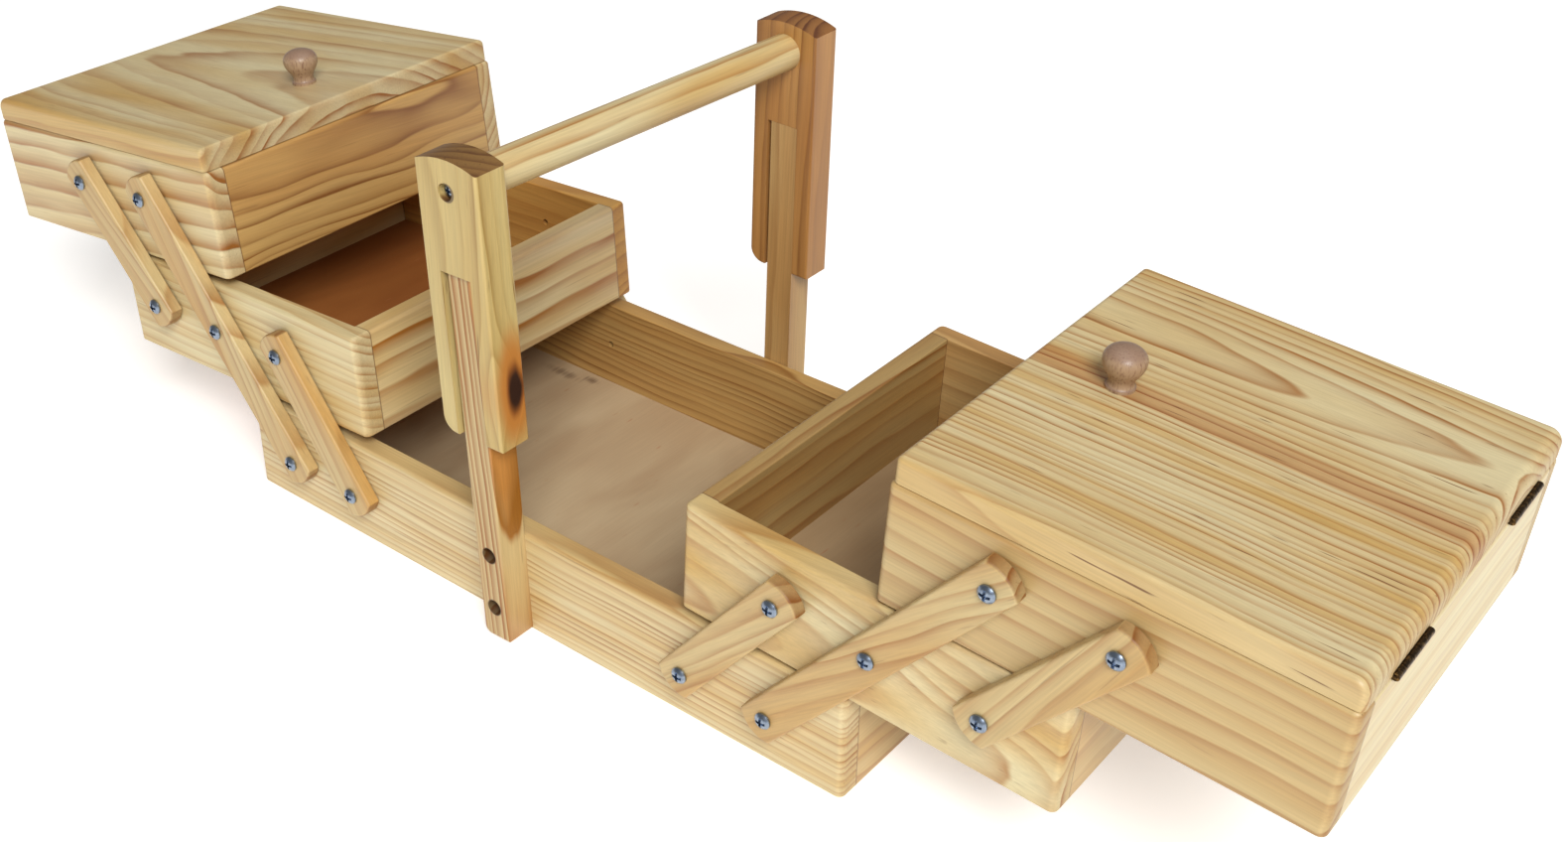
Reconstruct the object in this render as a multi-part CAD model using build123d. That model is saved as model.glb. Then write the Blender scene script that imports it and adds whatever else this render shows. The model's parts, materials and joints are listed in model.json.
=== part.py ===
from build123d import *
import os
from math import acos, asin, atan2, cos, degrees, hypot, radians, sin
from types import SimpleNamespace

# Wooden cantilever sewing box, shown open: a base, two trays and two lidded top boxes that
# swing out on arms, and a fixed carrying handle.
# Millimetres. Origin at the middle of the base's underside, +X to the right wing,
# +Y to the rear, +Z up. A wing is described once, outwards along +X, and mirrored for the left.

# Boxes
base_length = 386.0
base_width = 200.0
base_height = 56.0
tray_setback = 1.0             # closed, a tray's outer face lies this far inside the base's
tray_height = 56.0
top_setback = 1.0              # closed, a top box's outer face lies this far inside the base's
top_height = 58.0
board_thickness = 10.8
wing_side_clearance = 0.5      # trays and top boxes are this much inside the base's faces
corner_radius = 3.5            # upright outer corners
rim_radius = 2.2               # upper outer edges
inner_rim_radius = 0.8
lower_edge_radius = 1.0
floor_thickness = 4.0
floor_rebate = 5.0             # how far the floor panel reaches into the boards
floor_clearance = 0.1

# Stack when the box is closed
stack_gap = 0.3                # between a rim and the box standing on it
centre_gap = 5.0               # between the right and left trays

# Arms
arm_hole_spacing = 78.7
arm_width = 20.0
arm_thickness = 7.0
arm_end_margin = 12.0          # last hole to the end of the arm
arm_end_rise = 3.5             # height of the end's arch
arm_corner_radius = 1.2
arm_edge_radius = 1.3
arm_back_edge_radius = 0.5
arm_side_gap = 0.4             # base face to arm
upper_hole_drop = 0.9          # the long arm's last hole lies this far below its centre line

# Pivots
base_pivot_height = 29.7       # above the base's underside
tray_pivot_height = 33.5       # above the tray's underside
tray_long_pivot_inset = 86.8   # long arm's tray pivot, from the tray's outer end
lower_arm_offset = 48.4        # lower short arm's tray pivot, inwards of the long arm's
upper_arm_offset = 53.8        # upper short arm's box pivot, outwards of the long arm's

# How the wings stand open: long arm above level, and droop of the tray and the top box
right_open_angle = 49.6
right_tray_droop = 2.6
right_top_droop = 3.4
left_open_angle = 51.0
left_tray_droop = 3.4
left_top_droop = 6.6

# Arm screws
screw_shank_radius = 1.8
screw_head_radius = 4.0
screw_head_height = 2.4
screw_point_length = 3.0
screw_board_depth = 9.0        # into a base board
screw_head_gap = 0.3           # arm to screw head
pivot_clearance = 0.08         # arm hole on a screw that is its hinge
loop_clearance = 0.65          # arm hole on the screw that closes the linkage
thread_clearance = 0.05        # screws in their pilot holes
cross_slot_length = 5.0
cross_slot_width = 1.3
cross_slot_depth = 1.7

# Lids
lid_thickness = 12.0
lid_gap = 0.4                  # box rim to lid
lid_inner_inset = 1.5          # lid's inner end behind the box's inner face
lid_side_inset = 0.8
lid_edge_radius = 2.8
lid_outer_inset = 0.3          # lid's outer end inside the box's outer face
lid_end_radius = 6.0           # upper edge over the hinges

# Hinges
hinge_length = 32.0
hinge_barrel_radius = 1.6
hinge_pin_radius = 0.7
hinge_pin_clearance = 0.05
hinge_pin_overhang = 0.4
hinge_knuckles = 5
hinge_knuckle_gap = 0.3
hinge_leaf_width = 9.0
hinge_leaf_thickness = 1.0
hinge_overhang = 0.6           # barrel centre outside the box's outer face
hinge_clearance = 0.2
hinge_front_y = -57.5
hinge_rear_y = 57.0
hinge_screw_spacing = 20.0
hinge_screw_head_radius = 1.8
hinge_screw_shank_radius = 0.9
hinge_screw_length = 8.0
hinge_screw_margin = 3.0       # screw centre from the leaf's free edge

# Knobs
right_knob_place = (40.0, 2.5)  # from the lid's inner end, and behind its middle line
left_knob_place = (37.0, -1.7)
knob_height = 19.2
knob_widest_height = 13.2      # middle of the head's rim, where the dome begins
knob_head_radius = 9.2
knob_waist_radius = 5.4
knob_waist_height = 3.0
knob_foot_radius = 6.4
knob_foot_height = 1.2
knob_screw_shank_radius = 1.7
knob_screw_head_radius = 3.4
knob_screw_depth = 12.0        # into the knob

# Handle
handle_x = 0.4                 # middle of the handle at the base's underside
front_lean = 2.0               # the front side leans to the left by this angle
rear_lean = -1.0
post_width = 16.0
post_depth = 16.1
post_foot_height = 1.2         # post's lower end above the base's underside
post_foot_radius = 4.0
post_edge_radius = 1.0
post_screw_heights = (18.5, 48.5)
cheek_width = 37.0
cheek_depth = 17.6
cheek_bottom = 112.0
cheek_over_bar = 11.6          # bar's centre to the top of the cheek's sides
cheek_crown = 3.6              # rise of the arched top
cheek_foot_radius = 8.0
cheek_edge_radius = 1.3
slot_width = 18.4
slot_top = 195.5
slot_clearance = 0.1
bar_radius = 9.2
bar_height = 234.5
bar_socket_depth = 6.0
bar_end_clearance = 0.2
bar_clearance = 0.05
bore_radius = 4.1              # counterbores for the handle's screws
post_bore_depth = 7.0
bar_bore_depth = 4.0
handle_screw_shank_radius = 2.0
handle_screw_head_radius = 3.7
handle_screw_head_height = 2.2
post_screw_board_depth = 9.0
bar_screw_bar_depth = 26.0
drill_overrun = 1.0            # cuts run past a face, and pilot holes past a screw's point, by this

# Places worked out from the sizes
wing_reach = (base_length - centre_gap) / 2
tray_length = wing_reach - tray_setback
top_length = wing_reach - top_setback
tray_long_pivot = tray_length - tray_long_pivot_inset
cheek_shoulder = bar_height + cheek_over_bar
wing_width = base_width - 2 * wing_side_clearance
base_face = base_width / 2
arm_face = base_face + arm_side_gap
arm_outer_face = arm_face + arm_thickness
screw_head_face = arm_outer_face + screw_head_gap
screw_length = screw_head_face - base_face + screw_board_depth
hinge_axis_height = top_height + lid_gap / 2
hinge_axis_position = top_length + hinge_overhang
lid_outer_end = top_length - lid_outer_inset
lid_length = lid_outer_end - lid_inner_inset


def drooped(point, angle):
    """A point (out, up) of a box, turned so that the box's outer end sinks by the angle."""
    out, up = point
    turn = radians(angle)
    return out * cos(turn) + up * sin(turn), up * cos(turn) - out * sin(turn)


def added(first, second):
    return first[0] + second[0], first[1] + second[1]


def taken(first, second):
    return first[0] - second[0], first[1] - second[1]


def direction(start, end):
    """Angle above level of the line from start to end, in degrees."""
    return degrees(atan2(end[1] - start[1], end[0] - start[0]))


def level_point_between(first, second, height):
    """The point at a height that is as far from the first point as from the second."""
    middle = (first[0] + second[0]) / 2, (first[1] + second[1]) / 2
    slope = (second[1] - first[1]) / (second[0] - first[0])
    return middle[0] - (height - middle[1]) * slope, height


def wing_linkage(open_angle, tray_droop, top_droop):
    """Pivots, corners and angles of one wing, open and closed, in (out, up).

    Closed, the boxes stand level on each other. Open, the tray and the top box droop. Each
    short arm's inner pivot is set so that the arm is equally long in both states.
    """
    tray_closed = (centre_gap / 2, base_height + stack_gap)
    top_closed = (centre_gap / 2, base_height + tray_height + 2 * stack_gap)
    tray_long = (tray_long_pivot, tray_pivot_height)
    rise = tray_closed[1] + tray_pivot_height - base_pivot_height
    closed_angle = 180.0 - degrees(asin(rise / arm_hole_spacing))
    reach = arm_hole_spacing * cos(radians(closed_angle))
    base_long = (tray_closed[0] + tray_long_pivot - reach, base_pivot_height)

    def along_arm(distance, drop, angle):
        turn = radians(angle)
        offset = (distance * cos(turn) + drop * sin(turn), distance * sin(turn) - drop * cos(turn))
        return added(base_long, offset)

    tray_open = taken(along_arm(arm_hole_spacing, 0, open_angle), drooped(tray_long, tray_droop))
    last_hole = 2 * arm_hole_spacing
    top_long = taken(along_arm(last_hole, upper_hole_drop, closed_angle), top_closed)
    top_open = taken(along_arm(last_hole, upper_hole_drop, open_angle), drooped(top_long, top_droop))

    tray_lower = (tray_long_pivot - lower_arm_offset, tray_pivot_height)
    lower_open_end = added(tray_open, drooped(tray_lower, tray_droop))
    lower_closed_end = added(tray_closed, tray_lower)
    base_lower = level_point_between(lower_open_end, lower_closed_end, base_pivot_height)

    top_upper = (top_long[0] + upper_arm_offset, top_long[1])
    upper_open_end = added(top_open, drooped(top_upper, top_droop))
    upper_closed_end = added(top_closed, top_upper)
    seen_open = drooped(taken(upper_open_end, tray_open), -tray_droop)
    seen_closed = taken(upper_closed_end, tray_closed)
    tray_upper = level_point_between(seen_open, seen_closed, tray_pivot_height)
    upper_open_start = added(tray_open, drooped(tray_upper, tray_droop))
    upper_closed_start = added(tray_closed, tray_upper)

    return SimpleNamespace(
        tray_corner=tray_open,
        top_corner=top_open,
        tray_droop=tray_droop,
        top_droop=top_droop,
        tray_pivots=(tray_lower, tray_long, tray_upper),
        top_pivots=(top_long, top_upper),
        base_pivots=(base_lower, base_long),
        upper_start=upper_open_start,
        long_angle=open_angle,
        long_swing=closed_angle - open_angle,
        lower_angle=direction(base_lower, lower_open_end),
        lower_swing=direction(base_lower, lower_closed_end) - direction(base_lower, lower_open_end),
        lower_spacing=hypot(*taken(lower_open_end, base_lower)),
        upper_angle=direction(upper_open_start, upper_open_end),
        upper_swing=direction(upper_closed_start, upper_closed_end)
        - direction(upper_open_start, upper_open_end),
        upper_spacing=hypot(*taken(upper_open_end, upper_open_start)),
    )


right_wing = wing_linkage(right_open_angle, right_tray_droop, right_top_droop)
left_wing = wing_linkage(left_open_angle, left_tray_droop, left_top_droop)
wings = {"right": right_wing, "left": left_wing}


def block(x_range, y_range, z_range):
    """A square-edged block between pairs of coordinates."""
    lows, highs = zip(x_range, y_range, z_range)
    size = [high - low for low, high in zip(lows, highs)]
    middle = [(low + high) / 2 for low, high in zip(lows, highs)]
    return Pos(*middle) * Box(*size)


def group(solids):
    """Separate solids that make one node."""
    return Compound(children=list(solids))


def mirrored_pair(solid, plane):
    return [solid, mirror(solid, about=plane)]


def box_pieces(length, width, height, pivots):
    """Boards and floor of one box, its inner bottom edge at X = 0 and its middle at Y = 0.

    Front and rear boards run the full length, and the end boards stand between them. The
    pivots, in (out, up), are pilot holes through the front and rear boards.
    """
    body = block((0, length), (-width / 2, width / 2), (0, height))
    body = fillet(body.edges().filter_by(Axis.Z), corner_radius)
    body = fillet(body.faces().sort_by(Axis.Z)[-1].edges(), rim_radius)
    body = fillet(body.faces().sort_by(Axis.Z)[0].edges(), lower_edge_radius)
    inside = (board_thickness, length - board_thickness)
    inside_y = width / 2 - board_thickness
    body -= block(inside, (-inside_y, inside_y), (0, height))
    rim = body.faces().sort_by(Axis.Z)[-1]
    body = fillet(rim.inner_wires()[0].edges(), inner_rim_radius)
    rebate = (inside[0] - floor_rebate, inside[1] + floor_rebate)
    rebate_y = inside_y + floor_rebate
    body -= block(rebate, (-rebate_y, rebate_y), (0, floor_thickness))
    front = body & block((0, length), (-width / 2, -inside_y), (0, height))
    for out, up in pivots:
        pilot = Cylinder(screw_shank_radius + thread_clearance, 2 * board_thickness)
        front -= Pos(out, -width / 2, up) * Rot(90, 0, 0) * pilot
    ends = body & block((0, length), (-inside_y, inside_y), (0, height))
    panel_x = (rebate[0] + floor_clearance, rebate[1] - floor_clearance)
    panel_y = rebate_y - floor_clearance
    floor = block(panel_x, (-panel_y, panel_y), (0, floor_thickness))
    return {
        "front_board": front,
        "rear_board": mirror(front, about=Plane.XZ),
        "end_boards": ends,
        "floor": floor,
    }


def arm(spacings, last_drop, clearances):
    """An arm lying along +X with its first hole at the origin and its back on Y = 0.

    The holes follow each other at the spacings, and each has its own clearance.
    """
    length = sum(spacings)
    half = arm_width / 2
    shoulder = arm_end_margin - arm_end_rise
    outline = Line((-shoulder, -half), (length + shoulder, -half))
    outline += ThreePointArc(
        (length + shoulder, -half), (length + arm_end_margin, 0), (length + shoulder, half)
    )
    outline += Line((length + shoulder, half), (-shoulder, half))
    outline += ThreePointArc((-shoulder, half), (-arm_end_margin, 0), (-shoulder, -half))
    plan = make_face(outline)
    plan = fillet(plan.vertices(), arm_corner_radius)
    board = extrude(plan, arm_thickness)
    board = fillet(board.faces().sort_by(Axis.Z)[-1].edges(), arm_edge_radius)
    board = fillet(board.faces().sort_by(Axis.Z)[0].edges(), arm_back_edge_radius)
    places = [sum(spacings[:count]) for count in range(len(spacings) + 1)]
    for count, (place, clearance) in enumerate(zip(places, clearances)):
        drop = last_drop if count == len(places) - 1 else 0
        hole = Cylinder(screw_shank_radius + clearance, 4 * arm_thickness)
        board -= Pos(place, -drop, 0) * hole
    return Rot(90, 0, 0) * board


def hung_arm(board, start, angle):
    """The arm at the front of the right wing, its first hole at start, rising at the angle."""
    return Pos(start[0], -arm_face, start[1]) * Rot(0, -angle, 0) * board


def cross_recess(top):
    """The driver's cross, sunk from the top of a screw head."""
    bar = block(
        (-cross_slot_length / 2, cross_slot_length / 2),
        (-cross_slot_width / 2, cross_slot_width / 2),
        (top - cross_slot_depth, top + drill_overrun),
    )
    return bar + Rot(0, 0, 90) * bar


def pan_head_screw(shank_radius, length, head_radius, head_height):
    """A screw along Z, its domed head standing on Z = 0 and its point at Z = -length."""
    edge = head_height / 3
    profile = Polyline(
        (0, head_height),
        (0, -length),
        (shank_radius, screw_point_length - length),
        (shank_radius, 0),
        (head_radius, 0),
        (head_radius, edge),
    )
    dome_x, dome_z = head_radius * 0.62, edge + (head_height - edge) * 0.78
    profile += ThreePointArc((head_radius, edge), (dome_x, dome_z), (0, head_height))
    body = revolve(make_face(Plane.XZ * profile), Axis.Z)
    return body - cross_recess(head_height)


def countersunk_screw(shank_radius, length, head_radius):
    """A screw along Z with its flat head flush with Z = 0 and its point at Z = -length."""
    profile = Polyline(
        (0, 0),
        (head_radius, 0),
        (shank_radius, shank_radius - head_radius),
        (shank_radius, shank_radius - length),
        (0, -length),
        close=True,
    )
    return revolve(make_face(Plane.XZ * profile), Axis.Z)


def arm_screw():
    return pan_head_screw(screw_shank_radius, screw_length, screw_head_radius, screw_head_height)


def arm_screws(pivots):
    """Front and rear screws at pivots in (out, up) of a box that is not drooped."""
    front = [
        Pos(out, -screw_head_face, up) * Rot(90, 0, 0) * arm_screw() for out, up in pivots
    ]
    rear = [mirror(screw, about=Plane.XZ) for screw in front]
    return front + rear


def lid(knob_centre):
    """The lid over a top box, in the box's frame, with its hinge recesses and knob hole."""
    low, high = top_height + lid_gap, top_height + lid_gap + lid_thickness
    half = wing_width / 2 - lid_side_inset
    board = block((lid_inner_inset, lid_outer_end), (-half, half), (low, high))
    outer_edge = board.edges().filter_by(Axis.Y).group_by(Axis.Z)[-1].sort_by(Axis.X)[-1]
    board = fillet(outer_edge, lid_end_radius)
    inner_end = board.faces().sort_by(Axis.X)[0].edges().filter_by(Axis.Y).sort_by(Axis.Z)[-1:]
    sides = board.faces().sort_by(Axis.Y)
    side_edges = sides[0].edges() + sides[-1].edges()
    upper_edges = [edge for edge in side_edges if edge.center().Z > low + lid_gap]
    board = fillet(upper_edges + inner_end, lid_edge_radius)
    for y in (hinge_front_y, hinge_rear_y):
        board -= Pos(0, y, 0) * leaf_recess(1)
        for screw_y in hinge_screw_places():
            place = Pos(hinge_screw_x(), y + screw_y, low + hinge_leaf_thickness)
            pilot = Cylinder(hinge_screw_shank_radius + thread_clearance, 2 * hinge_screw_length)
            board -= place * pilot
    shaft = Cylinder(knob_screw_shank_radius + thread_clearance, 4 * lid_thickness)
    board -= Pos(*knob_centre, low) * shaft
    sink_depth = knob_screw_head_radius - knob_screw_shank_radius
    head_radius = knob_screw_head_radius + thread_clearance
    shank_radius = knob_screw_shank_radius + thread_clearance
    sink = Cone(head_radius, shank_radius, sink_depth)
    board -= Pos(*knob_centre, low + sink_depth / 2) * sink
    return board


def hinge_screw_x():
    return hinge_axis_position - hinge_leaf_width + hinge_screw_margin


def hinge_screw_places():
    return (-hinge_screw_spacing / 2, hinge_screw_spacing / 2)


def leaf_recess(side):
    """The recess for a hinge's leaf and barrel, in the lid for side 1 and in the rim for side -1."""
    half = hinge_length / 2 + hinge_clearance
    depth = lid_gap / 2 + hinge_leaf_thickness + thread_clearance
    barrel = hinge_barrel_radius + hinge_clearance
    inner = hinge_axis_position - hinge_leaf_width - hinge_clearance
    outer = hinge_axis_position + barrel
    leaf_heights = sorted((hinge_axis_height, hinge_axis_height + side * depth))
    barrel_heights = sorted((hinge_axis_height, hinge_axis_height + side * barrel))
    barrel_half = half + hinge_pin_overhang
    recess = block((inner, outer), (-half, half), leaf_heights)
    recess += block((hinge_axis_position - barrel, outer), (-barrel_half, barrel_half), barrel_heights)
    return recess


def hinge_leaf(side):
    """One hinge leaf with its knuckles, the lid's for side 1 and the box's for side -1."""
    half = hinge_length / 2
    near, far = side * lid_gap / 2, side * (lid_gap / 2 + hinge_leaf_thickness)
    plate = block((-hinge_leaf_width, 0), (-half, half), sorted((near, far)))
    barrel = Rot(90, 0, 0) * Cylinder(hinge_barrel_radius, hinge_length)
    free = Rot(90, 0, 0) * Cylinder(hinge_barrel_radius + hinge_clearance, 2 * hinge_length)
    leaf = plate - free
    pitch = hinge_length / hinge_knuckles
    own = range(1, hinge_knuckles, 2) if side > 0 else range(0, hinge_knuckles, 2)
    for knuckle in own:
        start = -half + knuckle * pitch + (hinge_knuckle_gap / 2 if knuckle else 0)
        end = -half + (knuckle + 1) * pitch
        end -= hinge_knuckle_gap / 2 if knuckle < hinge_knuckles - 1 else 0
        reach = 2 * hinge_leaf_width
        leaf += (barrel + plate) & block((-reach, reach), (start, end), (-reach, reach))
    bore = Cylinder(hinge_pin_radius + hinge_pin_clearance, 2 * hinge_length)
    leaf -= Rot(90, 0, 0) * bore
    leaf = Pos(hinge_axis_position, 0, hinge_axis_height) * leaf
    for y in hinge_screw_places():
        leaf -= Pos(hinge_screw_x(), y, hinge_axis_height + near) * countersink(side)
    return leaf


def countersink(side):
    """The countersunk hole through a leaf, from its face at the joint."""
    head = hinge_screw_head_radius + thread_clearance
    shank = hinge_screw_shank_radius + thread_clearance
    depth = head - shank
    cone = Pos(0, 0, -depth / 2) * Cone(shank, head, depth)
    hole = cone + Cylinder(shank, 4 * hinge_leaf_thickness)
    return hole if side < 0 else Rot(180, 0, 0) * hole


def hinge_pin():
    pin = Cylinder(hinge_pin_radius, hinge_length + 2 * hinge_pin_overhang)
    return Pos(hinge_axis_position, 0, hinge_axis_height) * Rot(90, 0, 0) * pin


def hinge_screw(side, y):
    """A leaf screw, its head flush with the leaf's face at the joint."""
    screw = countersunk_screw(
        hinge_screw_shank_radius, hinge_screw_length, hinge_screw_head_radius
    )
    if side > 0:
        screw = Rot(180, 0, 0) * screw
    return Pos(hinge_screw_x(), y, hinge_axis_height + side * lid_gap / 2) * screw


def hinge_parts():
    """Both hinges of a lid, in the top box's frame, as groups of like pieces."""
    places = (hinge_front_y, hinge_rear_y)
    screws = {
        side: [hinge_screw(side, y + screw_y) for y in places for screw_y in hinge_screw_places()]
        for side in (-1, 1)
    }
    return {
        "hinge_box_leaves": [Pos(0, y, 0) * hinge_leaf(-1) for y in places],
        "hinge_lid_leaves": [Pos(0, y, 0) * hinge_leaf(1) for y in places],
        "hinge_pins": [Pos(0, y, 0) * hinge_pin() for y in places],
        "hinge_box_screws": screws[-1],
        "hinge_lid_screws": screws[1],
    }


def knob(centre):
    """The turned knob, standing on the lid, in the top box's frame."""
    flare_rise = knob_widest_height - knob_waist_height
    dome_rise = knob_height - knob_widest_height
    cove = Bezier(
        (knob_foot_radius, knob_foot_height),
        (knob_waist_radius * 1.07, knob_foot_height * 1.25),
        (knob_waist_radius, knob_waist_height * 0.75),
        (knob_waist_radius, knob_waist_height),
    )
    flare = Bezier(
        (knob_waist_radius, knob_waist_height),
        (knob_waist_radius, knob_waist_height + flare_rise * 0.34),
        (knob_head_radius, knob_widest_height - flare_rise * 0.49),
        (knob_head_radius, knob_widest_height),
    )
    dome = Bezier(
        (knob_head_radius, knob_widest_height),
        (knob_head_radius, knob_widest_height + dome_rise * 0.56),
        (knob_head_radius * 0.6, knob_height),
        (0, knob_height),
    )
    profile = Line((0, 0), (knob_foot_radius, 0))
    profile += Line((knob_foot_radius, 0), (knob_foot_radius, knob_foot_height))
    profile += [cove, flare, dome]
    profile += Line((0, knob_height), (0, 0))
    body = revolve(make_face(Plane.XZ * profile), Axis.Z)
    pilot_depth = knob_screw_depth + drill_overrun
    pilot = Cylinder(knob_screw_shank_radius + thread_clearance, pilot_depth)
    body -= Pos(0, 0, pilot_depth / 2) * pilot
    lid_top = top_height + lid_gap + lid_thickness
    return Pos(*centre, lid_top) * body


def knob_screw(centre):
    length = lid_thickness + knob_screw_depth
    screw = countersunk_screw(knob_screw_shank_radius, length, knob_screw_head_radius)
    return Pos(*centre, top_height + lid_gap) * Rot(180, 0, 0) * screw


def leaned(solid, lean):
    """A handle piece of the front side, leaned to the left about the base's underside."""
    return Pos(handle_x, 0, 0) * Rot(0, -lean, 0) * solid


def lean_offset(height, lean):
    """Place in X of the handle's middle line at a height along the leaned side."""
    return handle_x - height * sin(radians(lean)), height * cos(radians(lean))


def post():
    """A post on the base's front face, standing against the right side of its slot."""
    offset = (slot_width - post_width) / 2 - slot_clearance
    top = slot_top - slot_clearance
    outer = -base_face - post_depth
    body = block(
        (offset - post_width / 2, offset + post_width / 2),
        (outer, -base_face),
        (post_foot_height, top),
    )
    foot = body.edges().filter_by(Axis.Y).group_by(Axis.Z)[0].sort_by(Axis.X)[0]
    body = fillet(foot, post_foot_radius)
    body = fillet(body.faces().sort_by(Axis.Y)[0].edges(), post_edge_radius)
    for height in post_screw_heights:
        place = Pos(offset, outer, height) * Rot(90, 0, 0)
        shank = Cylinder(handle_screw_shank_radius + thread_clearance, 4 * post_depth)
        body -= place * shank
        body -= place * Cylinder(bore_radius, 2 * post_bore_depth)
    return body


def post_screw(height):
    offset = (slot_width - post_width) / 2 - slot_clearance
    length = post_depth - post_bore_depth + post_screw_board_depth
    screw = pan_head_screw(
        handle_screw_shank_radius, length, handle_screw_head_radius, handle_screw_head_height
    )
    return Pos(offset, -base_face - post_depth + post_bore_depth, height) * Rot(90, 0, 0) * screw


def post_pilot(height):
    """The pilot hole in the base's board behind a post screw."""
    offset = (slot_width - post_width) / 2 - slot_clearance
    depth = post_screw_board_depth + drill_overrun
    drill = Cylinder(handle_screw_shank_radius + thread_clearance, 2 * depth)
    return Pos(offset, -base_face, height) * Rot(90, 0, 0) * drill


def cheek():
    """A cheek on the front side, its slot open at the bottom and its top arched."""
    half = cheek_width / 2
    outline = Polyline(
        (-half, cheek_shoulder), (-half, cheek_bottom), (half, cheek_bottom), (half, cheek_shoulder)
    )
    crown = cheek_shoulder + cheek_crown
    outline += ThreePointArc((half, cheek_shoulder), (0, crown), (-half, cheek_shoulder))
    side = make_face(Plane.XZ * outline)
    foot = side.vertices().group_by(Axis.Z)[0].sort_by(Axis.X)
    side = fillet(foot[:1], cheek_foot_radius)
    body = Pos(0, -base_face, 0) * extrude(side, amount=cheek_depth, dir=(0, -1, 0))
    uprights = body.edges().filter_by(Axis.Z).filter_by(lambda edge: edge.length > cheek_foot_radius)
    body = fillet(uprights, cheek_edge_radius)
    deep = base_face + 2 * cheek_depth
    body -= block((-slot_width / 2, slot_width / 2), (-deep, 0), (0, slot_top))
    return body


def bar_ends():
    """Where the bar's axis meets the inner faces of the front and rear cheeks."""
    front_x, front_z = lean_offset(bar_height, front_lean)
    rear_x, rear_z = lean_offset(bar_height, rear_lean)
    return Vector(front_x, -base_face, front_z), Vector(rear_x, base_face, rear_z)


def bar_frame(end):
    """A frame on the bar's axis at one end, its Z pointing out of the handle."""
    front, rear = bar_ends()
    outward = (front - rear).normalized()
    if end == "front":
        return Plane(origin=front, z_dir=outward).location
    return Plane(origin=rear, z_dir=outward * -1).location


def bar_cylinder(end, radius, start, stop):
    """A cylinder on the bar's axis, between two distances out of a cheek's inner face."""
    length = stop - start
    return bar_frame(end) * Pos(0, 0, start + length / 2) * Cylinder(radius, length)


def handle_bar():
    front, rear = bar_ends()
    span = (front - rear).length
    reach = bar_socket_depth - bar_end_clearance
    bar = bar_cylinder("front", bar_radius, -span - reach, reach)
    for end in ("front", "rear"):
        pilot = handle_screw_shank_radius + thread_clearance
        bar -= bar_cylinder(end, pilot, -bar_screw_bar_depth, cheek_depth)
    return bar


def drilled_cheek(body, end):
    """A placed cheek with the bar's socket, the screw hole and its counterbore."""
    body -= bar_cylinder(end, bar_radius + bar_clearance, -cheek_depth, bar_socket_depth)
    shank = handle_screw_shank_radius + thread_clearance
    body -= bar_cylinder(end, shank, 0, 2 * cheek_depth)
    return body - bar_cylinder(end, bore_radius, cheek_depth - bar_bore_depth, 2 * cheek_depth)


def bar_screw(end):
    seat = cheek_depth - bar_bore_depth
    length = seat + bar_screw_bar_depth - drill_overrun
    screw = pan_head_screw(
        handle_screw_shank_radius, length, handle_screw_head_radius, handle_screw_head_height
    )
    return bar_frame(end) * Pos(0, 0, seat) * screw


def handle_nodes():
    """Posts, cheeks, bar and screws of the handle."""
    turned_post = mirror(post(), about=Plane.XZ)
    turned_cheek = mirror(cheek(), about=Plane.XZ)
    front_screws = [leaned(post_screw(height), front_lean) for height in post_screw_heights]
    rear_screws = [
        leaned(mirror(post_screw(height), about=Plane.XZ), rear_lean)
        for height in post_screw_heights
    ]
    return {
        "front_post": leaned(post(), front_lean),
        "rear_post": leaned(turned_post, rear_lean),
        "front_cheek": drilled_cheek(leaned(cheek(), front_lean), "front"),
        "rear_cheek": drilled_cheek(leaned(turned_cheek, rear_lean), "rear"),
        "handle_bar": handle_bar(),
        "post_screws": group(front_screws + rear_screws),
        "bar_screws": group([bar_screw("front"), bar_screw("rear")]),
    }


def base_nodes():
    """The base box and the screws that carry the arms on it."""
    pivots = list(right_wing.base_pivots)
    pivots += [(-out, up) for out, up in left_wing.base_pivots]
    shifted = [(out + base_length / 2, up) for out, up in pivots]
    pieces = box_pieces(base_length, base_width, base_height, shifted)
    nodes = {f"base_{name}": Pos(-base_length / 2, 0, 0) * piece for name, piece in pieces.items()}
    for height in post_screw_heights:
        nodes["base_front_board"] -= leaned(post_pilot(height), front_lean)
        rear_pilot = mirror(post_pilot(height), about=Plane.XZ)
        nodes["base_rear_board"] -= leaned(rear_pilot, rear_lean)
    nodes["base_arm_screws"] = group(arm_screws(pivots))
    return nodes


def drilled_top_box(wing):
    """The top box's pieces, with the hinge recesses and pilot holes in its outer end board."""
    pieces = box_pieces(top_length, wing_width, top_height, wing.top_pivots)
    for y in (hinge_front_y, hinge_rear_y):
        pieces["end_boards"] -= Pos(0, y, 0) * leaf_recess(-1)
        for screw_y in hinge_screw_places():
            pilot = Cylinder(hinge_screw_shank_radius + thread_clearance, 2 * hinge_screw_length)
            pieces["end_boards"] -= Pos(hinge_screw_x(), y + screw_y, top_height) * pilot
    return pieces


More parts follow.
